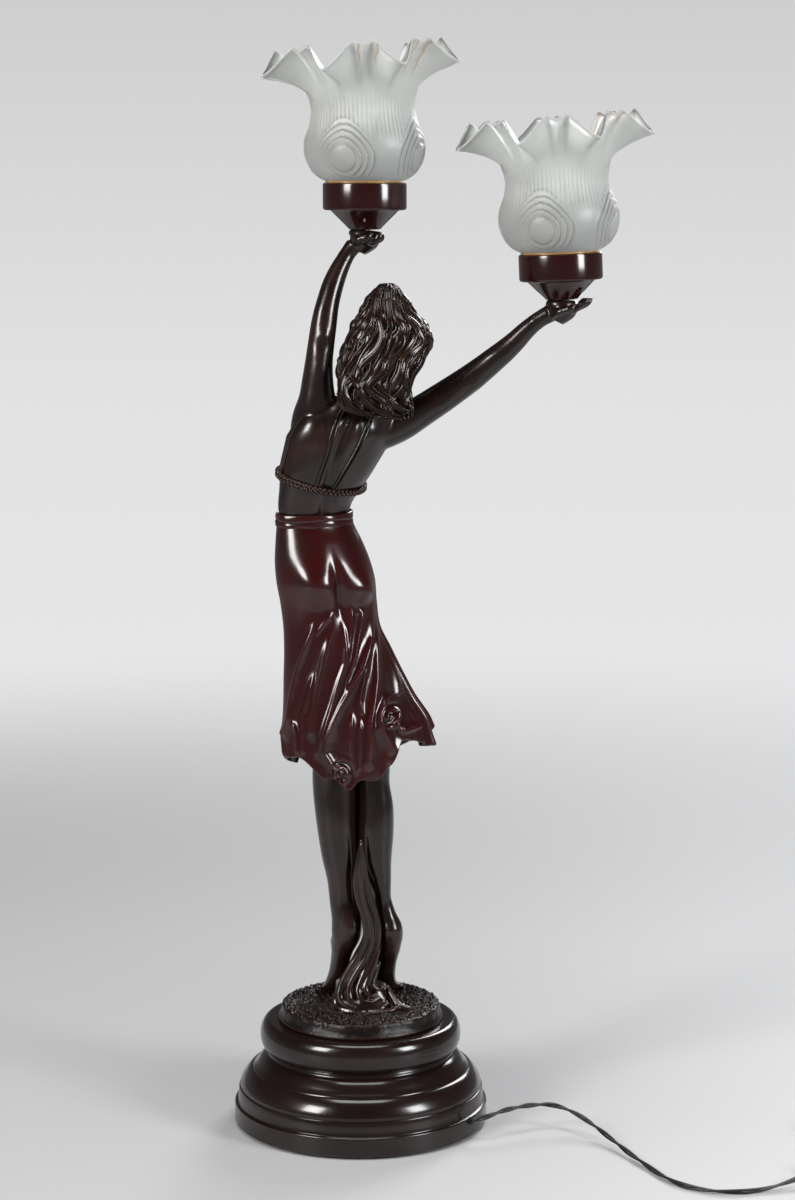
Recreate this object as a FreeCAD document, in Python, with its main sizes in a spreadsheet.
"""Figural table lamp: a figure on a turned plinth holds up two cups with ruffled glass shades.

Frame: +Z up, +X to the right of the figure seen from behind, +Y the way it looks.
The origin is the middle of the plinth's underside. Sizes are in millimetres and degrees.
"""
import FreeCAD
import Part
import Sketcher
import math
import os

Vector = FreeCAD.Vector
Rotation = FreeCAD.Rotation
Placement = FreeCAD.Placement

doc = FreeCAD.newDocument("table_lamp")
sheet = doc.addObject("Spreadsheet::Sheet", "sizes")


# ---------------------------------------------------------------------------
# driving dimensions
# ---------------------------------------------------------------------------

class Dim:
    """A size with its number and the expression that binds it to the sheet."""

    def __init__(self, value, text):
        self.value = float(value)
        self.text = text

    def join(self, other, sign, value):
        text = other.text if isinstance(other, Dim) else repr(float(other))
        return Dim(value, "(%s %s %s)" % (self.text, sign, text))

    def __add__(self, other):
        return self.join(other, "+", self.value + number(other))

    __radd__ = __add__

    def __sub__(self, other):
        return self.join(other, "-", self.value - number(other))

    def __mul__(self, other):
        return self.join(other, "*", self.value * number(other))

    def __truediv__(self, other):
        return self.join(other, "/", self.value / number(other))


def number(size):
    return size.value if isinstance(size, Dim) else float(size)


class Sizes:
    """The named sizes. Each is one aliased cell of the sheet."""

    row = 0

    def put(self, name, value, note):
        Sizes.row += 1
        sheet.set("A%d" % self.row, note)
        sheet.set("B%d" % self.row, repr(value))
        sheet.setAlias("B%d" % self.row, name)
        setattr(self, name, Dim(value, "sizes." + name))


d = Sizes()
for name, value, note in (
    # plinth, turned
    ("plinth_radius", 106.0, "bottom band"),
    ("band_height", 18.0, "top of the bottom band"),
    ("shelf_radius", 101.6, "top of the narrow shelf over the band"),
    ("shelf_height", 28.6, "top of the shelf"),
    ("ovolo_top_radius", 93.0, "upper edge of the ovolo"),
    ("ovolo_top_height", 45.0, "upper edge of the ovolo"),
    ("cove_top_radius", 79.5, "upper edge of the cove"),
    ("cove_top_height", 60.0, "upper edge of the cove"),
    ("neck_radius", 77.5, "neck under the torus"),
    ("torus_foot_height", 66.5, "underside of the torus"),
    ("torus_round", 12.0, "radius of the torus bead"),
    ("plinth_height", 88.0, "flat top of the plinth"),
    ("plinth_top_radius", 75.0, "flat top of the plinth"),
    ("edge_step", 1.2, "fillets between the mouldings"),
    ("plinth_wall", 6.0, "wall and top of the hollow plinth"),
    ("felt_thickness", 1.0, "felt under the plinth"),
    ("plate_radius", 97.0, "closing plate"),
    ("plate_thickness", 3.0, "closing plate"),
    ("screw_circle", 88.0, "circle of the plate screws"),
    ("screw_radius", 1.75, "plate screws"),
    ("screw_length", 14.0, "plate screws"),
    ("fit_gap", 0.3, "clearance of fitted pieces"),
    # ground disc
    ("disc_radius", 65.5, "top edge of the ground disc"),
    ("disc_lip_radius", 69.0, "lower lip of the ground disc"),
    ("disc_height", 12.5, "thickness of the ground disc"),
    # armature
    ("conduit_radius", 4.0, "threaded steel conduit"),
    ("conduit_bore", 2.75, "bore of the conduit"),
    ("wire_radius", 2.1, "twisted pair in the conduit"),
    ("conduit_tail", 12.0, "conduit below the plinth's top wall"),
    ("nut_flats", 12.0, "lock nuts across the flats"),
    ("nut_height", 4.0, "lock nuts"),
    ("washer_radius", 9.0, "washers"),
    ("washer_thickness", 1.5, "washers"),
    # cups
    ("left_cup_x", 4.7, "axis of the left cup"),
    ("left_cup_z", 743.0, "underside of the left cup"),
    ("left_cup_tilt", 0.0, "tilt of the left cup"),
    ("right_cup_x", 163.5, "axis of the right cup"),
    ("right_cup_z", 687.0, "underside of the right cup"),
    ("right_cup_tilt", 2.5, "tilt of the right cup"),
    ("cup_radius", 33.7, "ring of the cup"),
    ("cup_ring_height", 20.5, "ring of the cup"),
    ("cup_cone_radius", 27.5, "top of the cup's cone"),
    ("cup_foot_radius", 13.6, "bottom of the cup's cone"),
    ("cup_cone_height", 15.0, "cone of the cup"),
    ("cup_step", 1.6, "fillet between cone and ring"),
    ("cup_wall", 3.0, "wall of the cup"),
    ("vent_radius", 2.2, "vent holes in the cone"),
    # lampholder and bulb
    ("holder_radius", 14.0, "lampholder"),
    ("holder_height", 40.5, "lampholder"),
    ("bulb_cap_radius", 6.9, "screw cap of the bulb"),
    ("bulb_cap_length", 22.0, "screw cap of the bulb"),
    ("bulb_radius", 22.5, "globe of the bulb"),
    ("bulb_neck_radius", 8.6, "neck of the bulb"),
    ("bulb_lift", 120.0, "travel that lifts a bulb out of its shade"),
    # glass shade
    ("fitter_radius", 28.5, "fitter rim of the glass"),
    ("fitter_depth", 12.0, "glass inside the ring"),
    ("glass_body_radius", 47.6, "widest body of the glass"),
    ("glass_body_height", 27.0, "height of the widest body"),
    ("glass_neck_radius", 41.6, "neck of the glass"),
    ("glass_neck_height", 57.0, "height of the neck"),
    ("glass_rim_radius", 76.0, "mean radius of the ruffled rim"),
    ("glass_rim_height", 100.0, "mean height of the ruffled rim"),
    ("ruffle_height", 9.5, "half height of the ruffles"),
    ("ruffle_reach", 8.5, "half reach of the ruffles"),
    ("glass_wall", 3.2, "wall of the glass"),
    ("left_shade_lean", 0.075, "slope of the left rim, which stands higher on the right"),
    ("right_shade_lean", 0.04, "slope of the right rim in its tilted cup"),
    # figure
    ("figure_turn", 27.0, "turn of the body about Z, to its left"),
    ("waist_height", 505.0, "joint of torso and skirt"),
    ("hem_height", 301.0, "mean height of the skirt's hem"),
    ("recess_height", 335.0, "ceiling of the skirt's recess"),
    ("skirt_wall", 4.0, "wall of the skirt at the hem"),
    ("waistband_height", 13.0, "waistband"),
    ("waistband_thickness", 2.2, "waistband"),
    ("braid_radius", 2.2, "braided cord of the bodice"),
    ("strap_radius", 1.3, "shoulder straps"),
    # mains cord
    ("cord_radius", 2.2, "twisted pair"),
    ("cord_angle", -31.0, "direction of the cord's hole"),
    ("cord_rise", 20.0, "upward slant of the cord's hole"),
    ("cord_height", 15.5, "height of the cord's hole"),
    ("bush_radius", 3.1, "bush in the cord's hole"),
    ("bush_flange", 4.6, "flange of the bush"),
    ("switch_length", 58.0, "in-line switch"),
    ("switch_width", 24.0, "in-line switch"),
    ("switch_height", 17.0, "in-line switch"),
    ("coil_radius", 24.0, "mean radius of the coil"),
    ("coil_turns", 2.25, "turns of each layer of the coil"),
    ("coil_step", 5.6, "distance of the coil's turns and layers"),
    ("plug_length", 36.0, "plug body"),
    ("plug_width", 35.0, "plug body"),
    ("plug_thickness", 14.0, "plug body"),
    ("pin_radius", 2.0, "plug pins"),
    ("pin_length", 19.0, "plug pins"),
    ("pin_spacing", 18.6, "plug pins"),
):
    d.put(name, value, note)
doc.recompute()

GAP = d.fit_gap.value
UP = Vector(0, 0, 1)
PIECES = {}


def keep(name, item):
    """Name a finished object, so that it is checked and exported."""
    item.Label = name
    PIECES[name] = item
    return item


def feature(name, shape, place=None):
    item = doc.addObject("Part::Feature", name)
    item.Shape = shape
    if place is not None:
        item.Placement = place
    return item


def bind(item, **sizes):
    """Bind properties of an object to sizes of the sheet."""
    for key, size in sizes.items():
        if isinstance(size, Dim):
            item.setExpression(key, size.text)
        else:
            setattr(item, key, size)
    return item


def seat(item, x=0.0, y=0.0, z=0.0, axis=None, angle=None):
    """Place an object: each coordinate may be a size of the sheet."""
    turn = Rotation() if axis is None else Rotation(axis, number(angle))
    item.Placement = Placement(Vector(number(x), number(y), number(z)), turn)
    for key, size in (("x", x), ("y", y), ("z", z)):
        if isinstance(size, Dim):
            item.setExpression("Placement.Base." + key, size.text)
    if isinstance(angle, Dim) and angle.value:
        item.setExpression("Placement.Rotation.Angle", angle.text)
    return item


def cylinder(name, radius, height, **place):
    item = bind(doc.addObject("Part::Cylinder", name), Radius=radius, Height=height)
    return seat(item, **place)


def cut(name, base, tool):
    item = doc.addObject("Part::Cut", name)
    item.Base = base
    item.Tool = tool
    return item


def fuse(name, parts):
    item = doc.addObject("Part::MultiFuse", name)
    item.Shapes = parts
    return item


def group(name, parts):
    item = doc.addObject("Part::Compound", name)
    item.Links = parts
    return item


# ---------------------------------------------------------------------------
# turned and padded bodies
# ---------------------------------------------------------------------------

def origin_plane(body, role):
    return [f for f in body.Origin.OriginFeatures if f.Role == role][0]


def arc_edge(start, end, radius):
    """Arc from start to end. A positive radius turns left, a negative one right."""
    chord = end - start
    half = chord.Length / 2.0
    size = max(abs(radius), half * 1.0001)
    left = Vector(-chord.y, chord.x, 0).normalize()
    side = left if radius > 0 else left * -1.0
    centre = (start + end) * 0.5 + side * math.sqrt(size * size - half * half)
    first = math.atan2(start.y - centre.y, start.x - centre.x)
    last = math.atan2(end.y - centre.y, end.x - centre.x)
    circle = Part.Circle(centre, Vector(0, 0, 1), size)
    if radius > 0:
        return Part.ArcOfCircle(circle, first, last), 1, 2
    return Part.ArcOfCircle(circle, last, first), 2, 1


def outline(sketch, points):
    """Closed outline. Each point is (x, y) or (x, y, radius of the arc that leaves it)."""
    spots = [Vector(number(p[0]), number(p[1]), 0) for p in points]
    ends = []
    for i, p in enumerate(points):
        start, end = spots[i], spots[(i + 1) % len(spots)]
        if len(p) == 3:
            edge, first, last = arc_edge(start, end, number(p[2]))
        else:
            edge, first, last = Part.LineSegment(start, end), 1, 2
        ends.append((sketch.addGeometry(edge, False), first, last))
    for i, p in enumerate(points):
        index, first, last = ends[i]
        before = ends[i - 1]
        sketch.addConstraint(Sketcher.Constraint("Coincident", before[0], before[2], index, first))
        for size, kind, axis in ((p[0], "DistanceX", -2), (p[1], "DistanceY", -1)):
            if number(size) == 0.0:
                sketch.addConstraint(Sketcher.Constraint("PointOnObject", index, first, axis))
                continue
            row = sketch.addConstraint(
                Sketcher.Constraint(kind, -1, 1, index, first, number(size)))
            if isinstance(size, Dim):
                sketch.setExpression("Constraints[%d]" % row, size.text)
        if len(p) == 3:
            row = sketch.addConstraint(Sketcher.Constraint("Radius", index, abs(number(p[2]))))
            if isinstance(p[2], Dim):
                sketch.setExpression("Constraints[%d]" % row, p[2].text)


def new_body(name):
    return doc.addObject("PartDesign::Body", name)


def new_sketch(body, name, role="XZ_Plane"):
    sketch = body.newObject("Sketcher::SketchObject", name)
    sketch.AttachmentSupport = [(origin_plane(body, role), "")]
    sketch.MapMode = "FlatFace"
    return sketch


def turned(name, points):
    """Body revolved about Z from an outline in (radius, height)."""
    body = new_body(name + "_body")
    sketch = new_sketch(body, name + "_outline")
    outline(sketch, points)
    spin = body.newObject("PartDesign::Revolution", name + "_turning")
    spin.Profile = sketch
    spin.ReferenceAxis = (sketch, ["V_Axis"])
    spin.Angle = 360
    body.Tip = spin
    return body


# ---------------------------------------------------------------------------
# cast forms: ruled skins through rings of arcs
# ---------------------------------------------------------------------------

def arc_through(a, b, c):
    """Arc through three points, or a line where they are in line."""
    if (b - a).cross(c - b).Length < 1e-4 * (c - a).Length ** 2:
        return Part.makeLine(a, c)
    return Part.Arc(a, b, c).toShape()


def ring_of_arcs(point, count):
    """Closed ring of arcs through the curve point(t), t from 0 to 1."""
    spots = [point(i / (2.0 * count)) for i in range(2 * count)]
    spots.append(spots[0])
    return [arc_through(spots[2 * i], spots[2 * i + 1], spots[2 * i + 2]) for i in range(count)]


FORWARD = 1


def ruled_band(lower, upper):
    return [Part.makeRuledSurface(a, b, FORWARD) for a, b in zip(lower, upper)]


def to_solid(faces, name):
    shell = Part.makeShell(faces)
    shell.sewShape()
    if shell.ShapeType != "Shell":
        shell = shell.Shells[0]
    solid = Part.makeSolid(shell)
    if solid.Volume < 0:
        solid.reverse()
    if not (solid.isValid() and shell.isClosed()):
        raise RuntimeError("open skin: " + name)
    return solid


def skin(rings, name, closed=False):
    """Solid between rings. An open one has flat ends."""
    faces = []
    for lower, upper in zip(rings, rings[1:]):
        faces += ruled_band(lower, upper)
    if closed:
        faces += ruled_band(rings[-1], rings[0])
    else:
        faces += [Part.Face(Part.Wire(rings[0])), Part.Face(Part.Wire(rings[-1]))]
    return to_solid(faces, name)


def oval(centre, across, along, half_across, half_along):
    """Curve of an oval section, as a function of t from 0 to 1."""
    def point(t):
        angle = 2.0 * math.pi * t
        return (centre + across * (half_across * math.cos(angle))
                + along * (half_along * math.sin(angle)))
    return point


def lerp(a, b, t):
    return a + (b - a) * t


def table_at(rows, key):
    """Row of numbers interpolated at a key, which is each row's first number."""
    if key <= rows[0][0]:
        return rows[0][1:]
    for low, high in zip(rows, rows[1:]):
        if key <= high[0]:
            t = (key - low[0]) / (high[0] - low[0])
            return tuple(lerp(a, b, t) for a, b in zip(low[1:], high[1:]))
    return rows[-1][1:]


def rounded_wire(points, name, share=0.45):
    """Straight runs joined by tangent arcs, each as large as its two runs allow."""
    edges, radii, start = [], [], points[0]
    for before, corner, after in zip(points, points[1:], points[2:]):
        one = (before - corner)
        two = (after - corner)
        run = min(one.Length, two.Length)
        turn = math.pi - one.getAngle(two)
        reach = share * run
        radii.append(reach / math.tan(turn / 2.0))
        one.normalize()
        two.normalize()
        first = corner + one * reach
        last = corner + two * reach
        inward = (one + two).normalize()
        centre = corner + inward * (radii[-1] / math.cos(turn / 2.0))
        middle = centre - inward * radii[-1]
        edges.append(Part.LineSegment(start, first).toShape())
        edges.append(Part.Arc(first, middle, last).toShape())
        start = last
    edges.append(Part.LineSegment(start, points[-1]).toShape())
    if radii:
        print("%s: least bend %.1f mm, radii %s"
              % (name, min(radii), " ".join("%.0f" % r for r in radii)))
    return Part.Wire(edges)


def tube(wire, radius, name):
    """Round bar of one radius along a wire."""
    first = wire.Edges[0]
    start = first.valueAt(first.FirstParameter)
    profile = Part.Wire([Part.Circle(start, first.tangentAt(first.FirstParameter), radius).toShape()])
    solid = wire.makePipeShell([profile], True, False)
    expected = math.pi * radius * radius * wire.Length
    if abs(solid.Volume) < 0.98 * expected or abs(solid.Volume) > 1.02 * expected:
        print("%s: volume %.1f, section times length %.1f" % (name, solid.Volume, expected))
    return solid


# ---------------------------------------------------------------------------
# plinth and what is under it
# ---------------------------------------------------------------------------

LEFT_ROD = Vector(-17, 6, 0)
RIGHT_ROD = Vector(18.5, 5, 0)
RODS = (LEFT_ROD, RIGHT_ROD)


def rod_holes(name, base, bottom, height, radius):
    """Cut the two conduit holes up through a base piece."""
    tools = []
    for side, rod in zip(("left", "right"), RODS):
        tools.append(cylinder("%s_%s_hole" % (name, side), radius, height,
                              x=rod.x, y=rod.y, z=bottom))
    return cut(name + "_drilled", base, fuse(name + "_holes", tools))


def make_plinth():
    wall, felt = d.plinth_wall, d.felt_thickness
    step = d.edge_step
    recess = d.plate_radius + d.fit_gap
    roof = d.plinth_height - wall
    cavity = d.neck_radius - wall
    shell = turned("plinth", [
        (recess, felt),
        (d.plinth_radius, felt),
        (d.plinth_radius, d.band_height, 2.4),
        (d.plinth_radius - 2.0, d.band_height + 2.0, 14.0),
        (d.shelf_radius, d.shelf_height),
        (d.shelf_radius - step, d.shelf_height + 1.0, 26.0),
        (d.ovolo_top_radius, d.ovolo_top_height),
        (d.ovolo_top_radius - step, d.ovolo_top_height + 1.0, -34.0),
        (d.cove_top_radius, d.cove_top_height),
        (d.neck_radius, d.cove_top_height + 1.5),
        (d.neck_radius, d.torus_foot_height),
        (d.neck_radius + step, d.torus_foot_height + 0.5, d.torus_round),
        (d.plinth_top_radius, d.plinth_height),
        (0.0, d.plinth_height),
        (0.0, roof),
        (cavity, roof),
        (cavity, d.cove_top_height - wall),
        (d.plate_radius - wall, d.ovolo_top_height - wall * 3.0),
        (d.plate_radius - wall, felt + d.plate_thickness),
        (recess, felt + d.plate_thickness),
    ])
    drilled = rod_holes("plinth", shell, roof - 1.0, wall + 2.0, d.conduit_radius + d.fit_gap)
    hole = cylinder("plinth_cord_bore", d.bush_radius, 40.0)
    hole.Placement = cord_place(-28.0)
    drilled = cut("plinth_with_cord_hole", drilled, hole)
    seats = []
    for i in range(4):
        turn = math.radians(45 + 90 * i)
        seats.append(cylinder("plinth_screw_seat_%d" % i, d.screw_radius + 3.0, 14.0,
                              x=d.screw_circle.value * math.cos(turn),
                              y=d.screw_circle.value * math.sin(turn),
                              z=felt + d.plate_thickness))
        seats.append(cylinder("plinth_screw_hole_%d" % i, d.screw_radius + 0.1, 13.0,
                              x=d.screw_circle.value * math.cos(turn),
                              y=d.screw_circle.value * math.sin(turn),
                              z=felt + d.plate_thickness))
    bossed = fuse("plinth_with_bosses", [drilled] + seats[0::2])
    keep("plinth", cut("plinth_bored", bossed, fuse("plinth_screw_holes", seats[1::2])))


def make_underside():
    felt, plate = d.felt_thickness, d.plate_thickness
    disc = cylinder("base_plate_disc", d.plate_radius, plate, z=felt)
    holes, screws = [], []
    for i in range(4):
        turn = math.radians(45 + 90 * i)
        x, y = (d.screw_circle.value * math.cos(turn), d.screw_circle.value * math.sin(turn))
        holes.append(cylinder("plate_hole_%d" % i, d.screw_radius + 0.1, 6.0, x=x, y=y))
        sink = bind(doc.addObject("Part::Cone", "plate_sink_%d" % i),
                    Radius1=d.screw_radius * 2.0 + 0.1, Radius2=d.screw_radius + 0.1, Height=2.0)
        holes.append(seat(sink, x=x, y=y, z=felt))
        head = bind(doc.addObject("Part::Cone", "screw_head_%d" % i),
                    Radius1=d.screw_radius * 2.0, Radius2=d.screw_radius, Height=2.0)
        seat(head, x=x, y=y, z=felt)
        shank = cylinder("screw_shank_%d" % i, d.screw_radius, d.screw_length, x=x, y=y, z=felt)
        screws.append(fuse("screw_%d" % i, [head, shank]))
    keep("base_plate", cut("base_plate_drilled", disc, fuse("base_plate_holes", holes)))
    keep("base_screws", group("base_screw_group", screws))
    keep("felt_pad", cylinder("felt_disc", d.plate_radius - 1.0, felt))


def make_ground_disc():
    height, top = d.plinth_height, d.plinth_height + d.disc_height
    shell = turned("ground_disc", [
        (0.0, height),
        (d.disc_lip_radius, height),
        (d.disc_lip_radius, height + 3.0, -14.0),
        (d.disc_radius, top - 1.0),
        (d.disc_radius - 1.0, top),
        (0.0, top),
    ])
    keep("ground_disc", rod_holes("ground_disc", shell, height - 1.0, d.disc_height + 2.0,
                                  d.conduit_radius + d.fit_gap))


def hexagon(name, flats, height, bore):
    """Hexagon nut standing on the XY plane."""
    block = bind(doc.addObject("Part::Prism", name + "_block"),
                 Circumradius=flats / math.sqrt(3.0), Height=height)
    block.Polygon = 6
    hole = cylinder(name + "_bore", bore, height + 2.0, z=-1.0)
    return cut(name, block, hole)


def make_fixings():
    roof = d.plinth_height - d.plinth_wall
    washers, nuts = [], []
    for side, rod in zip(("left", "right"), RODS):
        disc = cylinder("washer_" + side, d.washer_radius, d.washer_thickness,
                        x=rod.x, y=rod.y, z=roof - d.washer_thickness)
        hole = cylinder("washer_bore_" + side, d.conduit_radius + 0.1, 6.0,
                        x=rod.x, y=rod.y, z=roof - 4.0)
        washers.append(cut("washer_ring_" + side, disc, hole))
        nut = hexagon("fixing_nut_" + side, d.nut_flats, d.nut_height, d.conduit_radius + 0.05)
        nuts.append(seat(nut, x=rod.x, y=rod.y, z=roof - d.washer_thickness - d.nut_height))
    keep("fixing_washers", group("washer_group", washers))
    keep("fixing_nuts", group("nut_group", nuts))


TERMINAL = Vector(0, -34, 0)


def make_terminal_block():
    """Two-pole connector that stands on the closing plate."""
    floor = d.felt_thickness + d.plate_thickness
    block = bind(doc.addObject("Part::Box", "terminal_body"), Length=22.0, Width=18.0, Height=14.0)
    seat(block, x=TERMINAL.x - 11.0, y=TERMINAL.y - 9.0, z=floor)
    wells, screws = [], []
    for i, x in enumerate((-5.5, 5.5)):
        for k, y in enumerate((-4.5, 4.5)):
            spot = {"x": TERMINAL.x + x, "y": TERMINAL.y + y}
            wells.append(cylinder("terminal_well_%d%d" % (i, k), 2.1, 6.0, z=floor + 9.0, **spot))
            screws.append(cylinder("terminal_screw_%d%d" % (i, k), 1.9, 3.0, z=floor + 9.0, **spot))
    keep("terminal_block", cut("terminal_bored", block, fuse("terminal_wells", wells)))
    keep("terminal_screws", group("terminal_screw_group", screws))


def cord_place(along):
    """Place on the cord's slanting hole, that far outside the band, +Z pointing out."""
    turn = Rotation(UP, d.cord_angle.value) * Rotation(Vector(0, 1, 0), 90.0 - d.cord_rise.value)
    spot = Rotation(UP, d.cord_angle.value).multVec(Vector(d.plinth_radius.value, 0, 0))
    spot.z = d.cord_height.value
    return Placement(spot + turn.multVec(Vector(0, 0, along)), turn)


def bush_reach():
    """Length of the bush from the outside of the band to its flange inside the wall."""
    return d.plinth_radius.value - d.plate_radius.value + d.plinth_wall.value + 3.2


def make_cord_bush():
    """Rubber bush: a sleeve through the wall with a flange inside."""
    sleeve = Part.makeCylinder(d.bush_radius.value - 0.05, bush_reach() + 1.0)
    flange = Part.makeCylinder(d.bush_flange.value, 1.5, Vector(0, 0, -1.5))
    bore = Part.makeCylinder(d.cord_radius.value + 0.2, 60, Vector(0, 0, -10))
    shape = sleeve.fuse(flange).cut(bore)
    keep("cord_bush", feature("cord_bush", shape, cord_place(-bush_reach())))


# ---------------------------------------------------------------------------
# armature of bent conduits
# ---------------------------------------------------------------------------

def cup_axis(side):
    tilt = math.radians(getattr(d, side + "_cup_tilt").value)
    return Vector(-math.sin(tilt), 0, math.cos(tilt))


def cup_base(side):
    return Vector(getattr(d, side + "_cup_x").value, 0, getattr(d, side + "_cup_z").value)


def conduit_top(side):
    """End of the conduit, one nut above the floor of the cup."""
    return cup_base(side) + cup_axis(side) * (cup_floor() + d.nut_height.value + 2.0)


def cup_floor():
    return d.cup_wall.value


LEFT_ROUTE = (
    Vector(-17, 6, 205), Vector(-22, 2, 300), Vector(-28, 0, 400), Vector(-43, 2, 500),
    Vector(-38, -8, 560), Vector(-33, -17, 612), Vector(-29.5, -18, 664), Vector(-12, -4, 721),
)
RIGHT_ROUTE = (
    Vector(18.5, 5, 205), Vector(11, 2, 300), Vector(-8, 0, 400), Vector(-30, 2, 500),
    Vector(-20, -4, 550), Vector(20, 8, 578), Vector(88, 11, 621), Vector(145, 3, 671),
)
PALM_DROP = 7.5


def conduit_route(side):
    rod, middle = (LEFT_ROD, LEFT_ROUTE) if side == "left" else (RIGHT_ROD, RIGHT_ROUTE)
    foot = rod + Vector(0, 0, d.plinth_height.value - d.plinth_wall.value - d.conduit_tail.value)
    palm = cup_base(side) - cup_axis(side) * PALM_DROP
    return [foot] + list(middle) + [palm, conduit_top(side)]


CONDUIT_WIRES = {}


def make_conduits():
    for side in ("left", "right"):
        wire = rounded_wire(conduit_route(side), side + "_conduit")
        CONDUIT_WIRES[side] = wire
        bar = tube(wire, d.conduit_radius.value, side + "_conduit")
        bore = tube(wire, d.conduit_bore.value, side + "_conduit bore")
        keep(side + "_conduit", feature(side + "_conduit", bar.cut(bore)))
        keep(side + "_wires", feature(side + "_wires", tube(wire, d.wire_radius.value,
                                                            side + "_wires")))


def bore_for(side):
    """Clearance bar of a conduit, to cut its way through the castings."""
    return tube(CONDUIT_WIRES[side], d.conduit_radius.value + 0.25, side + " bore")


# ---------------------------------------------------------------------------
# figure
# ---------------------------------------------------------------------------

TURN = math.radians(d.figure_turn.value)
SIDE = Vector(math.cos(TURN), math.sin(TURN), 0)
FRONT = Vector(-math.sin(TURN), math.cos(TURN), 0)
GROUND = d.plinth_height.value + d.disc_height.value

# height, axis x, axis y, half width as seen from behind, half depth
TORSO = (
    (505, -36.9, 2, 28.0, 20.0), (520, -36.5, 1, 29.8, 20.5), (535, -31.0, -1, 34.0, 23.0),
    (550, -25.7, -2, 38.3, 26.0), (565, -19.5, -3, 41.0, 27.5), (580, -14.0, -5, 42.0, 26.0),
    (590, -10.0, -6, 40.0, 23.0), (600, -6.0, -6, 33.5, 18.0), (608, -2.0, -5, 22.5, 14.5),
    (616, 2.0, -3, 14.0, 13.0),
)
BODY_ARCS = 16
TRUNK_LEVELS = (505, 520, 535, 545, 553.5, 562, 570, 578, 586, 594, 602, 609, 616)


def across_half(seen, deep):
    """Half width across the body of a section whose turned oval is seen that wide."""
    return math.sqrt((seen ** 2 - (deep * math.sin(TURN)) ** 2)) / math.cos(TURN)


def torso_curve(height, grow=0.0):
    """Section of the trunk: an oval with bust, spine furrow and shoulder blades."""
    x, y, seen, deep = table_at(TORSO, height)
    wide = across_half(seen, deep)
    centre = Vector(x, y, height)
    bust = math.exp(-((height - 577.0) / 13.0) ** 2)
    blades = math.exp(-((height - 585.0) / 16.0) ** 2)
    furrow = 1.0 if height < 600 else 0.3

    def point(t):
        angle = 2.0 * math.pi * t
        ahead = math.cos(angle - math.pi / 2.0)
        out = 1.0
        for spot in (0.17, 0.33):
            out += 0.30 * bust * math.exp(-((t - spot) / 0.055) ** 2)
        for spot in (0.68, 0.82):
            out += 0.05 * blades * math.exp(-((t - spot) / 0.04) ** 2)
        out -= 0.05 * furrow * math.exp(-((t - 0.75) / 0.03) ** 2) * (ahead < 0)
        return (centre + SIDE * ((wide * out + grow) * math.cos(angle))
                + FRONT * ((deep * out + grow) * math.sin(angle)))
    return point


def limb_rings(rows, count=8):
    """Rings along a limb: rows of centre, half width, half depth, axis."""
    rings = []
    for centre, half_across, half_along, axis in rows:
        axis = Vector(axis).normalize()
        along = FRONT - axis * FRONT.dot(axis)
        along.normalize()
        across = along.cross(axis).normalize()
        rings.append(ring_of_arcs(oval(centre, across, along, half_across, half_along), count))
    return rings


# height, x, y, half width as seen from behind, half depth of each leg
LEFT_LEG = (
    (310, -21.8, -0.5, 16.0, 16.5), (287, -21.6, 1, 17.5, 18.5),
    (267, -20.4, 0, 16.4, 17.5), (246, -19.2, -1, 15.5, 16.5), (226, -18.0, -2, 13.4, 15.0),
    (205, -16.6, -1, 11.2, 13.0), (184, -15.8, 1, 10.0, 11.5), (164, -16.3, 2, 9.3, 10.6),
)
RIGHT_LEG = (
    (310, 10.8, 2, 14.6, 18.0), (287, 10.6, 2, 14.0, 17.5),
    (267, 12.4, 1, 15.2, 17.5), (246, 12.9, 0, 14.8, 17.0), (226, 13.6, -1, 12.6, 15.0),
    (205, 16.0, -1, 10.4, 12.5), (184, 18.2, 1, 8.8, 11.0), (173, 20.2, 0, 9.2, 11.5),
)
# centre, half width, half depth, direction of a foot on tiptoe, from heel to toes
LEFT_FOOT = (
    (Vector(-16.8, 2.0, 150), 9.0, 10.5, (0, 0.15, -1)),
    (Vector(-17.2, 5.5, 134), 8.8, 10.0, (-0.05, 0.35, -1)),
    (Vector(-18.5, 11.0, 118), 9.6, 11.0, (-0.1, 0.55, -1)),
    (Vector(-20.5, 16.5, 110.5), 10.5, 9.5, (-0.3, 1.0, -0.8)),
    (Vector(-23.5, 25.0, 106.0), 10.0, 5.0, (-0.35, 1.0, -0.25)),
    (Vector(-26.5, 34.5, 103.6), 7.0, 2.6, (-0.35, 1.0, -0.1)),
)
RIGHT_FOOT = (
    (Vector(23.6, -1.0, 161), 10.0, 12.0, (0.05, 0.1, -1)),
    (Vector(22.6, 1.0, 148), 9.8, 11.5, (-0.05, 0.3, -1)),
    (Vector(20.8, 6.0, 132), 8.8, 10.5, (-0.08, 0.4, -1)),
    (Vector(19.3, 10.5, 118), 9.4, 11.0, (-0.1, 0.55, -1)),
    (Vector(18.0, 16.5, 110.5), 10.3, 9.5, (-0.2, 1.0, -0.8)),
    (Vector(16.0, 26.0, 106.0), 9.6, 5.0, (-0.2, 1.0, -0.25)),
    (Vector(14.5, 35.5, 103.6), 6.8, 2.6, (-0.2, 1.0, -0.1)),
)


# top ring of each thigh, as shares of the recess that it enters
THIGH_OFFSET = 0.34
THIGH_WIDE = 0.30
THIGH_DEEP = 0.46


def recess_inset():
    """How far the ceiling of the skirt's recess keeps inside the skirt's outline."""
    return d.skirt_wall.value + 6.0


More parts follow.
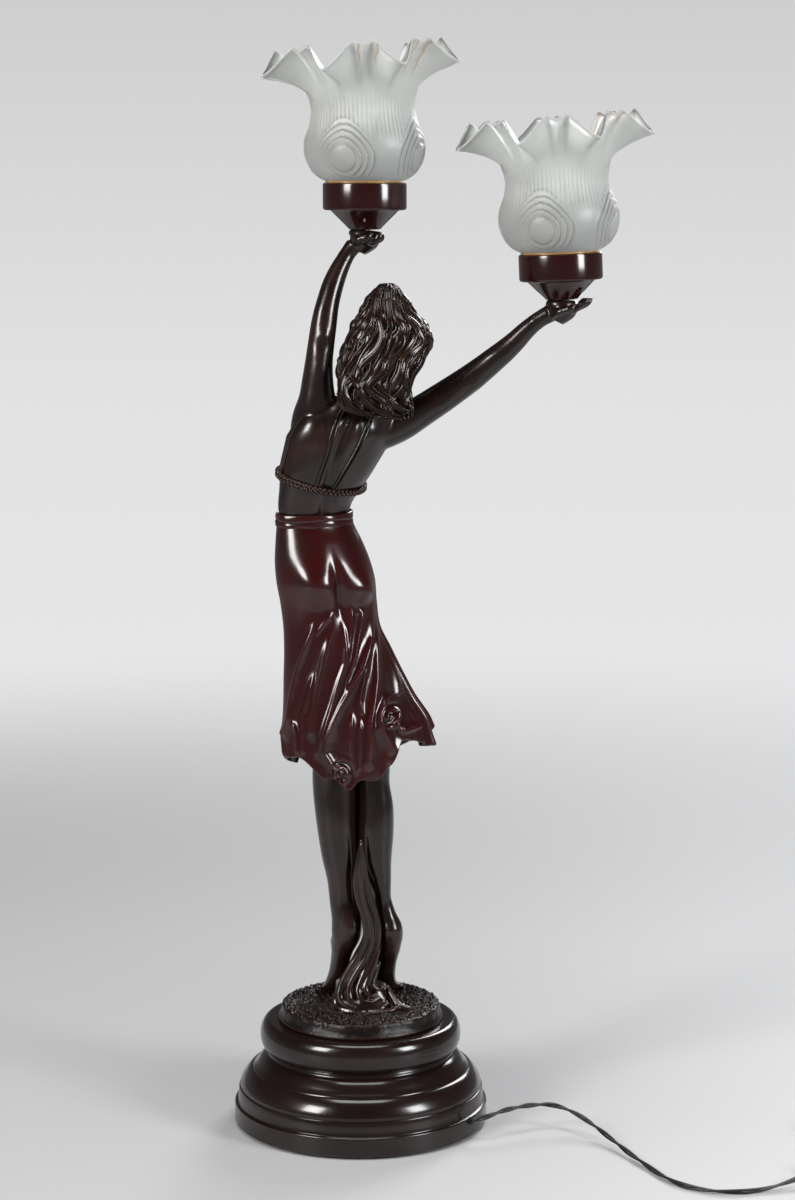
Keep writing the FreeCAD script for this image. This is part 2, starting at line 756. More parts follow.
def make_legs():
    lift = GROUND - 100.5
    top = d.recess_height.value
    x, y, seen, deep = table_at(sorted(SKIRT), top)[:4]
    wide = across_half(seen, deep) - recess_inset()
    deep -= recess_inset()
    for side, leg, foot in (("left", LEFT_LEG, LEFT_FOOT), ("right", RIGHT_LEG, RIGHT_FOOT)):
        sign = -1 if side == "left" else 1
        rows = [(Vector(x + sign * THIGH_OFFSET * wide, y, top), THIGH_WIDE * wide,
                 THIGH_DEEP * deep, (0, 0, -1))]
        rows += [(Vector(*spot, z), across_half(a, b), b, (0, 0, -1)) for z, *spot, a, b in leg]
        rows += [(c + Vector(0, 0, lift), a, b, axis) for c, a, b, axis in foot]
        solid = skin(limb_rings(rows), side + "_leg")
        floor = Part.makeBox(300, 300, 40, Vector(-150, -150, GROUND - 40))
        shape = solid.cut(floor).cut(bore_for(side))
        keep(side + "_leg", feature(side + "_leg", shape))


def arm_rows(joints):
    """Rings square to the path through the joints of an arm."""
    rows = []
    for i, (centre, a, b) in enumerate(joints):
        before = joints[max(i - 1, 0)][0]
        after = joints[min(i + 1, len(joints) - 1)][0]
        rows.append((centre, a, b, after - before))
    return rows


LEFT_SHOULDER = ((Vector(-27, -11, 585), 15.0, 13.5), (Vector(-31, -15, 598), 16.5, 15.0),
                 (Vector(-33.6, -17, 610), 14.6, 14.0))
LEFT_ARM = ((Vector(-33.6, -17, 610), 14.6, 14.0), (Vector(-33.2, -18, 622), 12.9, 13.4),
            (Vector(-32.0, -18.5, 638), 11.3, 12.2), (Vector(-30.0, -18.5, 654), 10.7, 11.0),
            (Vector(-28.0, -17, 668), 10.4, 10.4), (Vector(-25.0, -14, 684), 9.3, 10.0),
            (Vector(-20.5, -10, 700), 8.6, 9.0), (Vector(-14.5, -5.5, 714), 7.2, 7.6),
            (Vector(-9.5, -3, 723), 6.3, 6.6), (Vector(-4.0, -1, 730.5), 7.2, 7.4))
RIGHT_SHOULDER = ((Vector(-4, 2, 574), 12.0, 12.0), (Vector(14, 7, 577), 16.0, 15.0),
                  (Vector(32, 9.5, 584.5), 14.5, 14.0))
RIGHT_ARM = ((Vector(32, 9.5, 584.5), 14.5, 14.0), (Vector(50, 10.5, 595.5), 13.0, 13.2),
             (Vector(69, 11, 608), 12.4, 12.4), (Vector(88, 11, 621), 11.9, 11.6),
             (Vector(106, 9.5, 635), 10.8, 10.6), (Vector(125, 6.5, 651.5), 8.8, 9.0),
             (Vector(138, 4, 664.5), 7.4, 7.8), (Vector(147, 2.5, 671.5), 6.8, 7.4),
             (Vector(154, 1, 675.5), 6.6, 8.0))


def palm_shape(side):
    """Palm: a padded disc under the cup's foot, square to its axis."""
    axis = cup_axis(side)
    across = Vector(axis.z, 0, -axis.x)
    rings = []
    for drop, wide, deep, shift in ((13.5, 7.0, 7.0, -2.5), (10.0, 10.5, 10.0, -1.5),
                                    (5.5, 12.5, 11.5, 0.0), (0.2, 12.0, 11.0, 0.5)):
        centre = cup_base(side) - axis * drop + across * shift
        rings.append(ring_of_arcs(oval(centre, across, axis.cross(across), wide, deep), 8))
    return skin(rings, side + " palm")


def finger(points, radius):
    """Finger of tapered joints with round knuckles."""
    shape = Part.makeSphere(radius, points[0])
    for i, (a, b) in enumerate(zip(points, points[1:])):
        thick, thin = radius * (1 - 0.12 * i), radius * (1 - 0.12 * (i + 1))
        shape = shape.fuse(Part.makeCone(thick, thin, (b - a).Length, a, b - a))
        shape = shape.fuse(Part.makeSphere(thin, b))
    return shape


def hand_fingers(side):
    axis = cup_axis(side)
    base = cup_base(side)
    fingers = []
    if side == "left":
        for i in range(4):
            y = -9.5 + 5.6 * i
            fingers.append(finger([base + Vector(5, y, -8), base + Vector(13, y, -8.5),
                                   base + Vector(16, y * 0.9, -3.6)], 2.9))
        fingers.append(finger([base + Vector(-8, -6, -9), base + Vector(-2, -12.5, -7.5),
                               base + Vector(6, -13.5, -6)], 2.9))
    else:
        for i, reach in enumerate((17.0, 20.5, 21.5, 19.0)):
            y = -7.5 + 5.2 * i
            fingers.append(finger([base + Vector(6, y, -8), base + Vector(14, y * 1.05, -8.2),
                                   base + Vector(reach + 2, y * 1.1, -5.0 + 0.8 * i)], 2.8))
        fingers.append(finger([base + Vector(-6, -8, -10), base + Vector(2, -14, -8),
                               base + Vector(10, -16, -5)], 3.0))
    lid = Part.makeCylinder(60, 60, base - axis * 0.2, axis)
    return [f.cut(lid) for f in fingers]


def make_arms():
    for side, joints in (("left", LEFT_ARM), ("right", RIGHT_ARM)):
        arm = skin(limb_rings(arm_rows(joints)), side + "_arm")
        hand = arm.multiFuse([palm_shape(side)] + hand_fingers(side))
        whole = hand.cut(bore_for(side)).cut(PIECES["torso"].Shape)
        parts = sorted(whole.Solids, key=lambda s: s.Volume)
        keep(side + "_arm", feature(side + "_arm", parts[-1]))


def make_torso():
    trunk = skin([ring_of_arcs(torso_curve(h), BODY_ARCS) for h in TRUNK_LEVELS], "trunk")
    stubs = []
    for joints, arm in ((LEFT_SHOULDER, LEFT_ARM), (RIGHT_SHOULDER, RIGHT_ARM)):
        rows = arm_rows(joints)
        rows[-1] = arm_rows(arm)[0]
        stubs.append(skin(limb_rings(rows), "shoulder"))
    shape = trunk.multiFuse(stubs)
    for side in ("left", "right"):
        shape = shape.cut(bore_for(side))
    keep("torso", feature("torso", shape))


# distance above the head's middle, half width, front, back, nose or chin in front
HEAD = (
    (-34.0, 7.0, 20.0, 2.0, 0.5), (-29.0, 13.0, 22.5, 12.0, 2.0), (-22.0, 18.0, 23.5, 22.0, 0.5),
    (-16.0, 20.0, 24.5, 26.0, 2.4), (-10.0, 21.5, 25.0, 28.0, 5.6), (-4.0, 23.0, 25.0, 29.5, 3.4),
    (2.0, 23.8, 24.4, 31.0, 0.6), (8.0, 24.2, 26.0, 32.0, 0.4), (18.0, 23.8, 24.5, 32.0, 0.0),
    (27.0, 20.0, 18.0, 27.0, 0.0), (33.0, 12.0, 9.0, 17.0, 0.0), (35.5, 4.0, 2.5, 6.0, 0.0),
)
HEAD_MIDDLE = Vector(24.5, -4, 663)
HEAD_UP = Vector(0.16, -0.26, 0.95).normalize()
NECK = ((Vector(2, -3, 616), 14.5, 13.0), (Vector(7, -3.5, 626), 13.2, 12.5),
        (Vector(14, -4, 638), 13.0, 13.0), (Vector(20, -4.5, 650), 13.0, 14.0))


def head_frame():
    look = Vector(-0.10, 1.0, 0.0)
    front = (look - HEAD_UP * look.dot(HEAD_UP)).normalize()
    return front.cross(HEAD_UP).normalize(), front


def head_ring(row):
    rise, wide, ahead, behind, nose = row
    side, front = head_frame()
    centre = HEAD_MIDDLE + HEAD_UP * rise

    def point(t):
        angle = 2.0 * math.pi * t
        reach = ahead if math.sin(angle) > 0 else behind
        bump = nose * math.exp(-((t - 0.25) / 0.03) ** 2)
        return (centre + side * (wide * math.cos(angle))
                + front * (reach * math.sin(angle) + bump))
    return ring_of_arcs(point, 16)


def make_head():
    skull = skin([head_ring(row) for row in HEAD], "head")
    rows = arm_rows(NECK)
    rows[0] = (rows[0][0], rows[0][1], rows[0][2], UP)
    neck = skin(limb_rings(rows), "neck")
    keep("head", feature("head", skull.fuse(neck)))


# height, axis x, axis y, half width, half depth of the hair's outline
HAIR = (
    (589, 31, -38, 9.0, 5.0), (597, 21, -37, 20.0, 8.0), (606, 14.5, -36.5, 29.0, 9.5),
    (617, 14.0, -36, 30.0, 10.5), (629, 15.0, -33, 31.0, 14.0), (640, 19.0, -24, 32.5, 22.0),
    (650, 22.5, -15, 33.0, 30.0), (662, 25.0, -9, 32.5, 34.0), (674, 25.0, -8, 30.0, 34.0),
    (686, 23.5, -9, 22.5, 29.0), (695, 25.0, -12, 14.0, 20.0), (701, 26.0, -15, 6.0, 8.0),
)


def hair_ring(row, locks=11):
    """Outline scalloped by the locks."""
    height, x, y, wide, deep = row
    twist = 0.25 * math.sin(height / 17.0)

    def point(t):
        angle = 2.0 * math.pi * t
        lock = 1.0 + 0.045 * math.cos(2.0 * math.pi * locks * t + twist * 6.0)
        return Vector(x + wide * lock * math.cos(angle), y + deep * lock * math.sin(angle), height)
    return ring_of_arcs(point, 2 * locks)


def make_hair():
    """Locks round the head, open where the face and the neck are."""
    mass = skin([hair_ring(row) for row in HAIR], "hair")
    side, front = head_frame()
    rows = [(r - 0.0, w + GAP, a + GAP, b + GAP, n) for r, w, a, b, n in HEAD]
    cap = rows[-1]
    rows[-1] = (cap[0] + 2 * GAP, cap[1] + 1.0, cap[2] + 1.0, cap[3] + 1.0, 0.0)
    rows[0] = (rows[0][0] - 14.0,) + rows[0][1:]
    hollow = skin([head_ring(row) for row in rows], "head clearance")
    neck = skin(limb_rings([(c, a + 1.0, b + 1.0, n) for c, a, b, n in arm_rows(
        ((Vector(-6, -1, 600), 18.0, 16.0),) + NECK)]), "neck clearance")
    face = Part.makeBox(80, 60, 62)
    turn = Rotation(side, front, HEAD_UP, "XYZ")
    corner = HEAD_MIDDLE + side * -40.0 + front * 13.0 + HEAD_UP * -44.0
    face.Placement = Placement(corner, turn)
    shape = mass.cut(hollow).cut(neck).cut(face)
    parts = sorted(shape.Solids, key=lambda s: s.Volume)
    keep("hair", feature("hair", parts[-1]))


def torso_spot(t, height, out):
    return torso_curve(height, out)(t)


def braid_height(t):
    """The bodice's lower edge hangs lowest just right of the spine."""
    return 541.0 - 10.0 * math.cos(2.0 * math.pi * (t - 0.84))


BODICE_ARCS = (1, 7)


def make_bodice():
    """Cloth over the bust, braided hem cord all round, and two straps up the back."""
    front = []
    first, last = (2 * k for k in BODICE_ARCS)
    for height in TRUNK_LEVELS[4:10]:
        spots = [i / (2.0 * BODY_ARCS) for i in range(first, last + 1)]
        outer = [torso_spot(t, height, 0.8 + GAP) for t in spots]
        inner = [torso_spot(t, height, GAP) for t in reversed(spots)]
        arcs = range(0, last - first, 2)
        ring = [arc_through(*outer[i:i + 3]) for i in arcs]
        ring.append(Part.makeLine(outer[-1], inner[0]))
        ring += [arc_through(*inner[i:i + 3]) for i in arcs]
        ring.append(Part.makeLine(inner[-1], outer[0]))
        front.append(ring)
    cloth = skin(front, "bodice").cut(PIECES["torso"].Shape)
    keep("bodice", feature("bodice", sorted(cloth.Solids, key=lambda s: s.Volume)[-1]))
    rings = []
    steps = 28
    away = d.braid_radius.value + GAP + 0.6
    for i in range(steps):
        t = i / steps
        centre = torso_spot(t, braid_height(t), away)
        ahead = torso_spot(t + 0.01, braid_height(t + 0.01), away)
        tangent = (ahead - centre).normalize()
        out = tangent.cross(UP).normalize()
        rings.append(ring_of_arcs(oval(centre, out, out.cross(tangent), d.braid_radius.value,
                                       d.braid_radius.value), 4))
    keep("bodice_braid", feature("bodice_braid", skin(rings, "braid", closed=True)))
    straps = []
    for low, high in ((0.70, 0.735), (0.78, 0.80)):
        rows = []
        for i in range(7):
            t = lerp(low, high, i / 6.0)
            height = lerp(braid_height(t) + d.braid_radius.value + 1.5, 598.0, i / 6.0)
            rows.append((torso_spot(t, height, d.strap_radius.value + GAP + 0.5), height))
        points = [p for p, h in rows]
        rings = []
        for i, p in enumerate(points):
            axis = points[min(i + 1, 6)] - points[max(i - 1, 0)]
            rings.append((p, d.strap_radius.value, d.strap_radius.value, axis))
        straps.append(skin(limb_rings(rings, 4), "strap"))
    keep("shoulder_straps", feature("shoulder_straps", Part.makeCompound(straps)))


# height, axis x, axis y, half width as seen from behind, half depth, depth of the folds
SKIRT = (
    (505, -36.9, 2, 28.0, 20.0, 0.0), (490, -33.3, 0, 35.0, 27.0, 0.0),
    (475, -30.5, -1, 38.2, 31.0, 0.0), (460, -28.0, -1, 39.6, 33.0, 0.2),
    (440, -25.3, 0, 39.0, 32.0, 0.6), (420, -23.0, 0, 38.8, 32.0, 1.4),
    (400, -19.3, 0, 42.0, 33.0, 2.2), (380, -15.6, 0, 46.0, 35.0, 3.0),
    (360, -11.1, 0, 50.5, 37.0, 3.8), (340, -6.5, 0, 57.0, 39.0, 4.4),
    (324, -5.5, 0, 58.5, 40.0, 5.0), (301, -6.5, 0, 56.0, 40.0, 5.6),
)
FOLDS = 13


def hem_at(t):
    """Height of the hem: lowest at the back, highest beside the right thigh."""
    swing = math.cos(2.0 * math.pi * (t - 0.72))
    return d.hem_height.value - 14.0 * swing + 4.0 * math.cos(2.0 * math.pi * 3.0 * (t - 0.98))


def skirt_point(row, shrink=0.0, plain=False):
    """Section of the skirt. The last row is the hem, whose height varies."""
    height, x, y, seen, deep, fold = row
    wide = across_half(seen, deep)
    at_hem = height <= d.hem_height.value
    seat_form = 0.0 if plain else math.exp(-((height - 462.0) / 24.0) ** 2)
    depth = 0.0 if plain else fold

    def point(t):
        angle = 2.0 * math.pi * t
        wave = depth * math.cos(2.0 * math.pi * FOLDS * t + 0.012 * height)
        cleft = -3.6 * seat_form * math.exp(-((t - 0.75) / 0.022) ** 2)
        for spot in (0.66, 0.84):
            cleft += 4.2 * seat_form * math.exp(-((t - spot) / 0.07) ** 2)
        level = hem_at(t) + 0.9 * wave if at_hem else height
        reach = wave + cleft - shrink
        return (Vector(x, y, level) + SIDE * (math.cos(angle) * (wide + reach))
                + FRONT * (math.sin(angle) * (deep + reach)))
    return point


def make_skirt():
    count = 2 * FOLDS
    outer = [ring_of_arcs(skirt_point(row), count) for row in SKIRT]
    wall = d.skirt_wall.value
    ceiling = (d.recess_height.value,) + table_at(sorted(SKIRT), d.recess_height.value)
    inner = [ring_of_arcs(skirt_point(ceiling, recess_inset(), True), count),
             ring_of_arcs(skirt_point(SKIRT[-1], wall), count)]
    faces = [Part.Face(Part.Wire(outer[0])), Part.Face(Part.Wire(inner[0]))]
    for lower, upper in zip(outer, outer[1:]):
        faces += ruled_band(lower, upper)
    faces += ruled_band(inner[0], inner[1])
    faces += ruled_band(outer[-1], inner[-1])
    shape = to_solid(faces, "skirt")
    for side in ("left", "right"):
        shape = shape.cut(bore_for(side))
    keep("skirt", feature("skirt", shape))


def make_waistband():
    """Sash round the joint of torso and skirt."""
    half = d.waistband_height.value / 2.0
    middle = d.waist_height.value + 2.0
    thick = d.waistband_thickness.value

    def ring(height, grow):
        rows = TORSO if height > d.waist_height.value else sorted(SKIRT)
        x, y, seen, deep = table_at(rows, height)[:4]
        wide = across_half(seen, deep)
        return ring_of_arcs(oval(Vector(x, y, height), SIDE, FRONT, wide + grow, deep + grow), 16)
    levels = [middle - half, d.waist_height.value, middle, middle + half]
    outer = [ring(h, GAP + g) for h, g in zip(levels, (1.0, thick, thick + 0.4, 1.0))]
    inner = [ring(h, GAP) for h in levels]
    faces = ruled_band(outer[0], inner[0]) + ruled_band(outer[-1], inner[-1])
    for rings in (outer, inner):
        for lower, upper in zip(rings, rings[1:]):
            faces += ruled_band(lower, upper)
    band = to_solid(faces, "waistband").cut(PIECES["skirt"].Shape)
    keep("waistband", feature("waistband", sorted(band.Solids, key=lambda s: s.Volume)[-1]))


# centre, half width, half depth of the trailing cloth, from the ground to its tip
DRAPE = (
    (Vector(8, -7, 100.5), 27.0, 19.0), (Vector(8, -8, 106), 25.0, 16.5),
    (Vector(6, -11, 113), 19.0, 10.0), (Vector(4, -13.5, 124), 12.5, 6.5),
    (Vector(2, -14.5, 138), 8.5, 5.0), (Vector(0, -15.0, 155), 7.0, 4.0),
    (Vector(-2, -15.0, 172), 6.0, 3.4), (Vector(0, -16.0, 190), 5.5, 3.0),
    (Vector(1, -18.0, 208), 4.2, 2.4), (Vector(1, -19.5, 226), 2.8, 1.8),
    (Vector(0.1, -20.0, 243), 1.0, 0.8),
)


def make_drape():
    lift = GROUND - 100.5

    def ring(row):
        centre, wide, deep = row
        fold = 0.07 if centre.z > 108 else 0.03

        def point(t):
            angle = 2.0 * math.pi * t
            wave = 1.0 + fold * math.cos(2.0 * math.pi * 6.0 * t + centre.z / 9.0)
            return centre + Vector(wide * wave * math.cos(angle), deep * wave * math.sin(angle),
                                   lift)
        return ring_of_arcs(point, 12)
    cloth = skin([ring(row) for row in DRAPE], "drape")
    for side in ("left", "right"):
        leg = PIECES[side + "_leg"].Shape
        cloth = cloth.cut(leg)
    for side in ("left", "right"):
        cloth = cloth.cut(bore_for(side))
    parts = sorted(cloth.Solids, key=lambda s: s.Volume)
    keep("trailing_drape", feature("trailing_drape", parts[-1]))


# ---------------------------------------------------------------------------
# cups, lampholders, bulbs and glass shades
# ---------------------------------------------------------------------------

def cup_place(side):
    return {"x": getattr(d, side + "_cup_x"), "z": getattr(d, side + "_cup_z"),
            "axis": Vector(0, -1, 0), "angle": getattr(d, side + "_cup_tilt")}


def make_cup(side):
    wall, cone = d.cup_wall, d.cup_cone_height
    top = cone + d.cup_step + d.cup_ring_height
    body = turned(side + "_cup", [
        (d.conduit_radius + 0.05, 0.0),
        (d.cup_foot_radius, 0.0),
        (d.cup_cone_radius, cone),
        (d.cup_radius - d.cup_step, cone + 0.4, -1.6),
        (d.cup_radius, cone + d.cup_step, 90.0),
        (d.cup_radius, top - 1.0),
        (d.cup_radius - 1.0, top),
        (d.fitter_radius + 0.9, top),
        (d.fitter_radius + 0.9, cone + wall),
        (d.cup_cone_radius - wall * 1.2, cone + wall),
        (d.cup_foot_radius - wall * 0.5, wall),
        (d.conduit_radius + 0.05, wall),
    ])
    seat(body, **cup_place(side))
    tools = []
    height = (cone.value + wall.value) / 2.0
    slope = math.atan2(d.cup_cone_height.value, d.cup_cone_radius.value - d.cup_foot_radius.value)
    for angle in ((-90.0, 30.0, 150.0) if side == "left" else (-52.0, 68.0, 188.0)):
        drill = cylinder("%s_vent_%d" % (side, angle), d.vent_radius, 14.0)
        aim = Rotation(UP, angle) * Rotation(Vector(0, 1, 0), 90.0 + 90.0 - math.degrees(slope))
        spot = Rotation(UP, angle).multVec(Vector(d.cup_foot_radius.value - 3.5, 0, 12.5))
        drill.Placement = seat_place(side) * Placement(spot, aim)
        tools.append(drill)
    keep(side + "_cup", cut(side + "_cup_drilled", body, fuse(side + "_vents", tools)))


def seat_place(side, rise=0.0):
    place = Placement(cup_base(side), Rotation(Vector(0, -1, 0),
                                               getattr(d, side + "_cup_tilt").value))
    return place * Placement(Vector(0, 0, rise), Rotation())


def make_cup_nuts():
    nuts = []
    for side in ("left", "right"):
        nut = hexagon("cup_nut_" + side, d.nut_flats, d.nut_height, d.conduit_radius + 0.05)
        nut.Placement = seat_place(side, cup_floor())
        nuts.append(nut)
    keep("cup_nuts", group("cup_nut_group", nuts))


def holder_rise():
    return d.cup_wall + d.nut_height


def cap_rise():
    """Bottom of the bulb's cap above the cup's underside."""
    return holder_rise() + 19.0


def make_lights(side):
    place = cup_place(side)
    holder = turned(side + "_holder", [
        (d.conduit_radius + 0.05, holder_rise()),
        (d.holder_radius, holder_rise()),
        (d.holder_radius, holder_rise() + d.holder_height),
        (d.bulb_cap_radius + 2 * GAP, holder_rise() + d.holder_height),
        (d.bulb_cap_radius + 2 * GAP, holder_rise() + 12.0),
        (d.conduit_radius + 0.05, holder_rise() + 12.0),
    ])
    keep(side + "_lampholder", seat(holder, **place))
    contact = turned(side + "_contact", [
        (0.0, holder_rise() + 12.0),
        (d.bulb_cap_radius, holder_rise() + 12.0),
        (d.bulb_cap_radius, holder_rise() + 14.0),
        (2.5, holder_rise() + 14.0),
        (1.5, cap_rise() - GAP),
        (0.0, cap_rise() - GAP),
    ])
    keep(side + "_contacts", seat(contact, **place))
    low = cap_rise()
    length = d.bulb_cap_length
    cap = turned(side + "_bulb_cap", [
        (0.0, low),
        (2.2, low),
        (d.bulb_cap_radius, low + 3.5),
        (d.bulb_cap_radius, low + length - 1.5),
        (d.bulb_cap_radius + 0.5, low + length),
        (0.0, low + length),
    ])
    keep(side + "_bulb_cap", seat(cap, **place))
    foot = low + length
    middle = foot + 33.0
    joint = d.bulb_radius * 0.62
    shoulder = d.bulb_radius * math.sqrt(1.0 - 0.62 ** 2)
    glass = turned(side + "_bulb_glass", [
        (0.0, foot),
        (d.bulb_neck_radius, foot),
        (d.bulb_neck_radius + 1.0, foot + 8.0, -26.0),
        (joint, middle - shoulder, d.bulb_radius),
        (0.0, middle + d.bulb_radius),
    ])
    keep(side + "_bulb_glass", seat(glass, **place))


def ring_top():
    return d.cup_cone_height.value + d.cup_step.value + d.cup_ring_height.value


LOBES = 8


def shade_rows():
    """Height above the cup's ring, radius, ruffle height and ruffle reach of the glass."""
    body, neck = d.glass_body_radius.value, d.glass_neck_radius.value
    high, low = d.glass_neck_height.value, d.glass_body_height.value
    rim, reach = d.glass_rim_height.value, d.glass_rim_radius.value
    wave, push = d.ruffle_height.value, d.ruffle_reach.value
    foot = d.fitter_radius.value
    return (
        (-d.fitter_depth.value, foot, 0, 0), (1.2, foot + 0.4, 0, 0), (3.2, foot + 5.5, 0, 0),
        (low * 0.3, body - 7.0, 0, 0), (low * 0.65, body - 1.6, 0, 0), (low, body, 0, 0),
        (lerp(low, high, 0.4), body - 2.4, 0, 0), (lerp(low, high, 0.75), neck + 0.8, 0, 0),
        (high, neck, 0.0, 0.0), (lerp(high, rim, 0.3), neck + 2.0, 0.3, 0.6),
        (lerp(high, rim, 0.62), lerp(neck, reach, 0.34), wave * 0.32, push * 0.35),
        (lerp(high, rim, 0.84), lerp(neck, reach, 0.66), wave * 0.68, push * 0.7),
        (rim, reach, wave, push),
    )


def shade_ring(row, slope, thin=0.0, drop=0.0):
    """Section of the glass. slope makes the rim stand higher on the right."""
    height, radius, wave, push = row
    lean = slope * (max(height, 0.0) / d.glass_rim_height.value) ** 1.5

    def point(t):
        angle = 2.0 * math.pi * t - math.pi / 2.0
        lobe = math.cos(LOBES * (angle + math.pi / 2.0))
        reach = radius - thin - push * lobe
        x = reach * math.cos(angle)
        return Vector(x - 0.6 * lean * height, reach * math.sin(angle),
                      height + wave * lobe + drop + lean * x)
    return ring_of_arcs(lambda t: point(t - 0.25 / LOBES), 2 * LOBES)


def make_shade(side):
    rows = shade_rows()
    wall = d.glass_wall.value
    slope = getattr(d, side + "_shade_lean").value
    outer = [shade_ring(row, slope) for row in rows]
    inner = []
    for i, row in enumerate(rows):
        flare = min(1.0, max(0.0, (row[0] - d.glass_neck_height.value) / 30.0))
        inner.append(shade_ring(row, slope, wall * (1.0 - 0.45 * flare), wall * 0.75 * flare * (
            i < len(rows) - 1)))
    faces = ruled_band(outer[0], inner[0]) + ruled_band(outer[-1], inner[-1])
    for rings in (outer, inner):
        for lower, upper in zip(rings, rings[1:]):
            faces += ruled_band(lower, upper)
    shape = to_solid(faces, "shade")
    keep(side + "_shade", feature(side + "_shade", shape, seat_place(side, ring_top())))
    bead = bind(doc.addObject("Part::Torus", side + "_bead_ring"),
                Radius1=d.fitter_radius + 2.7, Radius2=0.65)
    bead.Placement = seat_place(side, ring_top() + 0.66)
    keep(side + "_bead", bead)


# ---------------------------------------------------------------------------
# mains cord, in-line switch, coil and plug
# ---------------------------------------------------------------------------

SWITCH_MIDDLE = Vector(398, -142.5, 0)
SWITCH_AIM = math.radians(20.0)
COIL_MIDDLE = Vector(420, -55, 0)
LAYERS = 4


def switch_end(sign):
    reach = sign * d.switch_length.value / 2.0
    return SWITCH_MIDDLE + Vector(reach * math.cos(SWITCH_AIM), reach * math.sin(SWITCH_AIM),
                                  d.switch_height.value / 2.0)


def run_route():
    """From the bush over the crest and along the table to the switch."""
    start = cord_place(1.0).Base
    out = cord_place(1.0).Rotation.multVec(UP)
    end = switch_end(-1)
    aim = Vector(math.cos(SWITCH_AIM), math.sin(SWITCH_AIM), 0)
    return [start, start + out * 13.0, Vector(119, -49, 23), Vector(140, -38, 23.5),
            Vector(161, -31, 22), Vector(181, -36, 15), Vector(198, -57, 8.5),
            Vector(212, -84, 4.5), Vector(226, -114, 2.8), Vector(240, -146, 2.3),
            Vector(258, -172, 2.3), Vector(285, -182, 2.3), Vector(312, -180, 2.3),
            Vector(336, -168.5, 4.5), end - aim * 16.0, end]


def coil_spot(turns, climb=0.5):
    """Point of the coil after a number of turns, spiralling in and out again."""
    per = d.coil_turns.value
    layer = min(int(turns / per), LAYERS - 1)
    share = turns / per - layer
    inward = share if layer % 2 == 0 else 1.0 - share
    step = d.coil_step.value
    radius = d.coil_radius.value + step * per * (0.5 - inward)
    height = d.cord_radius.value + 0.1 + step * layer
    for change in range(1, LAYERS):
        offset = turns - change * per
        if abs(offset) < climb / 2.0:
            height = d.cord_radius.value + 0.1 + step * (change - 0.5 + offset / climb)
    angle = 2.0 * math.pi * turns
    return COIL_MIDDLE + Vector(radius * math.cos(angle), radius * math.sin(angle), height)


def biarc(start, leave, end, arrive):
    """Two arcs that meet smoothly, between two points with their directions."""
    chord, both = end - start, leave + arrive
    spread = 2.0 * (1.0 - leave.dot(arrive))
    lean = chord.dot(both)
    if spread < 1e-9:
        reach = chord.dot(chord) / (2.0 * lean)
    else:
        reach = (-lean + math.sqrt(lean * lean + spread * chord.dot(chord))) / spread
    middle = (start + leave * reach + end - arrive * reach) * 0.5
    return [arc_from(start, leave, middle), arc_from(end, arrive * -1.0, middle, True)]


def arc_from(start, leave, end, back=False):
    chord = end - start
    length = chord.Length
    along = chord * (1.0 / length)
    rise = leave - along * leave.dot(along)
    if rise.Length < 1e-7:
        return Part.makeLine(end, start) if back else Part.makeLine(start, end)
    angle = leave.getAngle(chord)
    sag = length / (2.0 * math.sin(angle)) * (1.0 - math.cos(angle))
    top = (start + end) * 0.5 + rise.normalize() * sag
    return Part.Arc(end, top, start).toShape() if back else Part.Arc(start, top, end).toShape()


def coil_wire():
    total = d.coil_turns.value * LAYERS
    count = int(round(total * 4))
    small = 1e-4

    def way(turns):
        a, b = max(turns - small, 0.0), min(turns + small, total)
        return (coil_spot(b) - coil_spot(a)).normalize()
    stops = [total * i / count for i in range(count + 1)]
    lead = 2.0 * d.cord_radius.value
    first, last = way(0.0), way(total)
    edges = [Part.makeLine(coil_spot(0.0) - first * lead, coil_spot(0.0))]
    for a, b in zip(stops, stops[1:]):
        edges += biarc(coil_spot(a), way(a), coil_spot(b), way(b))
    edges.append(Part.makeLine(coil_spot(total), coil_spot(total) + last * lead))
    return Part.Wire(edges)


def coil_gap():
    """Least distance between the surfaces of different turns, measured on points."""
    total = d.coil_turns.value * LAYERS
    spots = [coil_spot(total * i / 720.0) for i in range(721)]
    skip = int(720.0 / total * 0.5)
    least = min((a - b).Length for i, a in enumerate(spots) for b in spots[i + skip:])
    return least - 2.0 * d.cord_radius.value


def link_route(end, way):
    start = switch_end(1)
    aim = Vector(math.cos(SWITCH_AIM), math.sin(SWITCH_AIM), 0)
    return [start, start + aim * 15.0, Vector(453, -114, 4.5), Vector(454.5, -94, 2.6),
            end - way * 14.0, end]


PLUG_FOOT = Vector(495, -44, 0)


def tail_route(start, way):
    return [start, start + way * 10.0, Vector(456, -24, 13), Vector(471, -12, 9),
            Vector(487, -16, 7), PLUG_FOOT + Vector(0, 12, d.plug_thickness.value / 2.0),
            PLUG_FOOT + Vector(0, 0, d.plug_thickness.value / 2.0)]


INNER_ROUTE_END = TERMINAL + Vector(11.2, -4.5, 11.5)


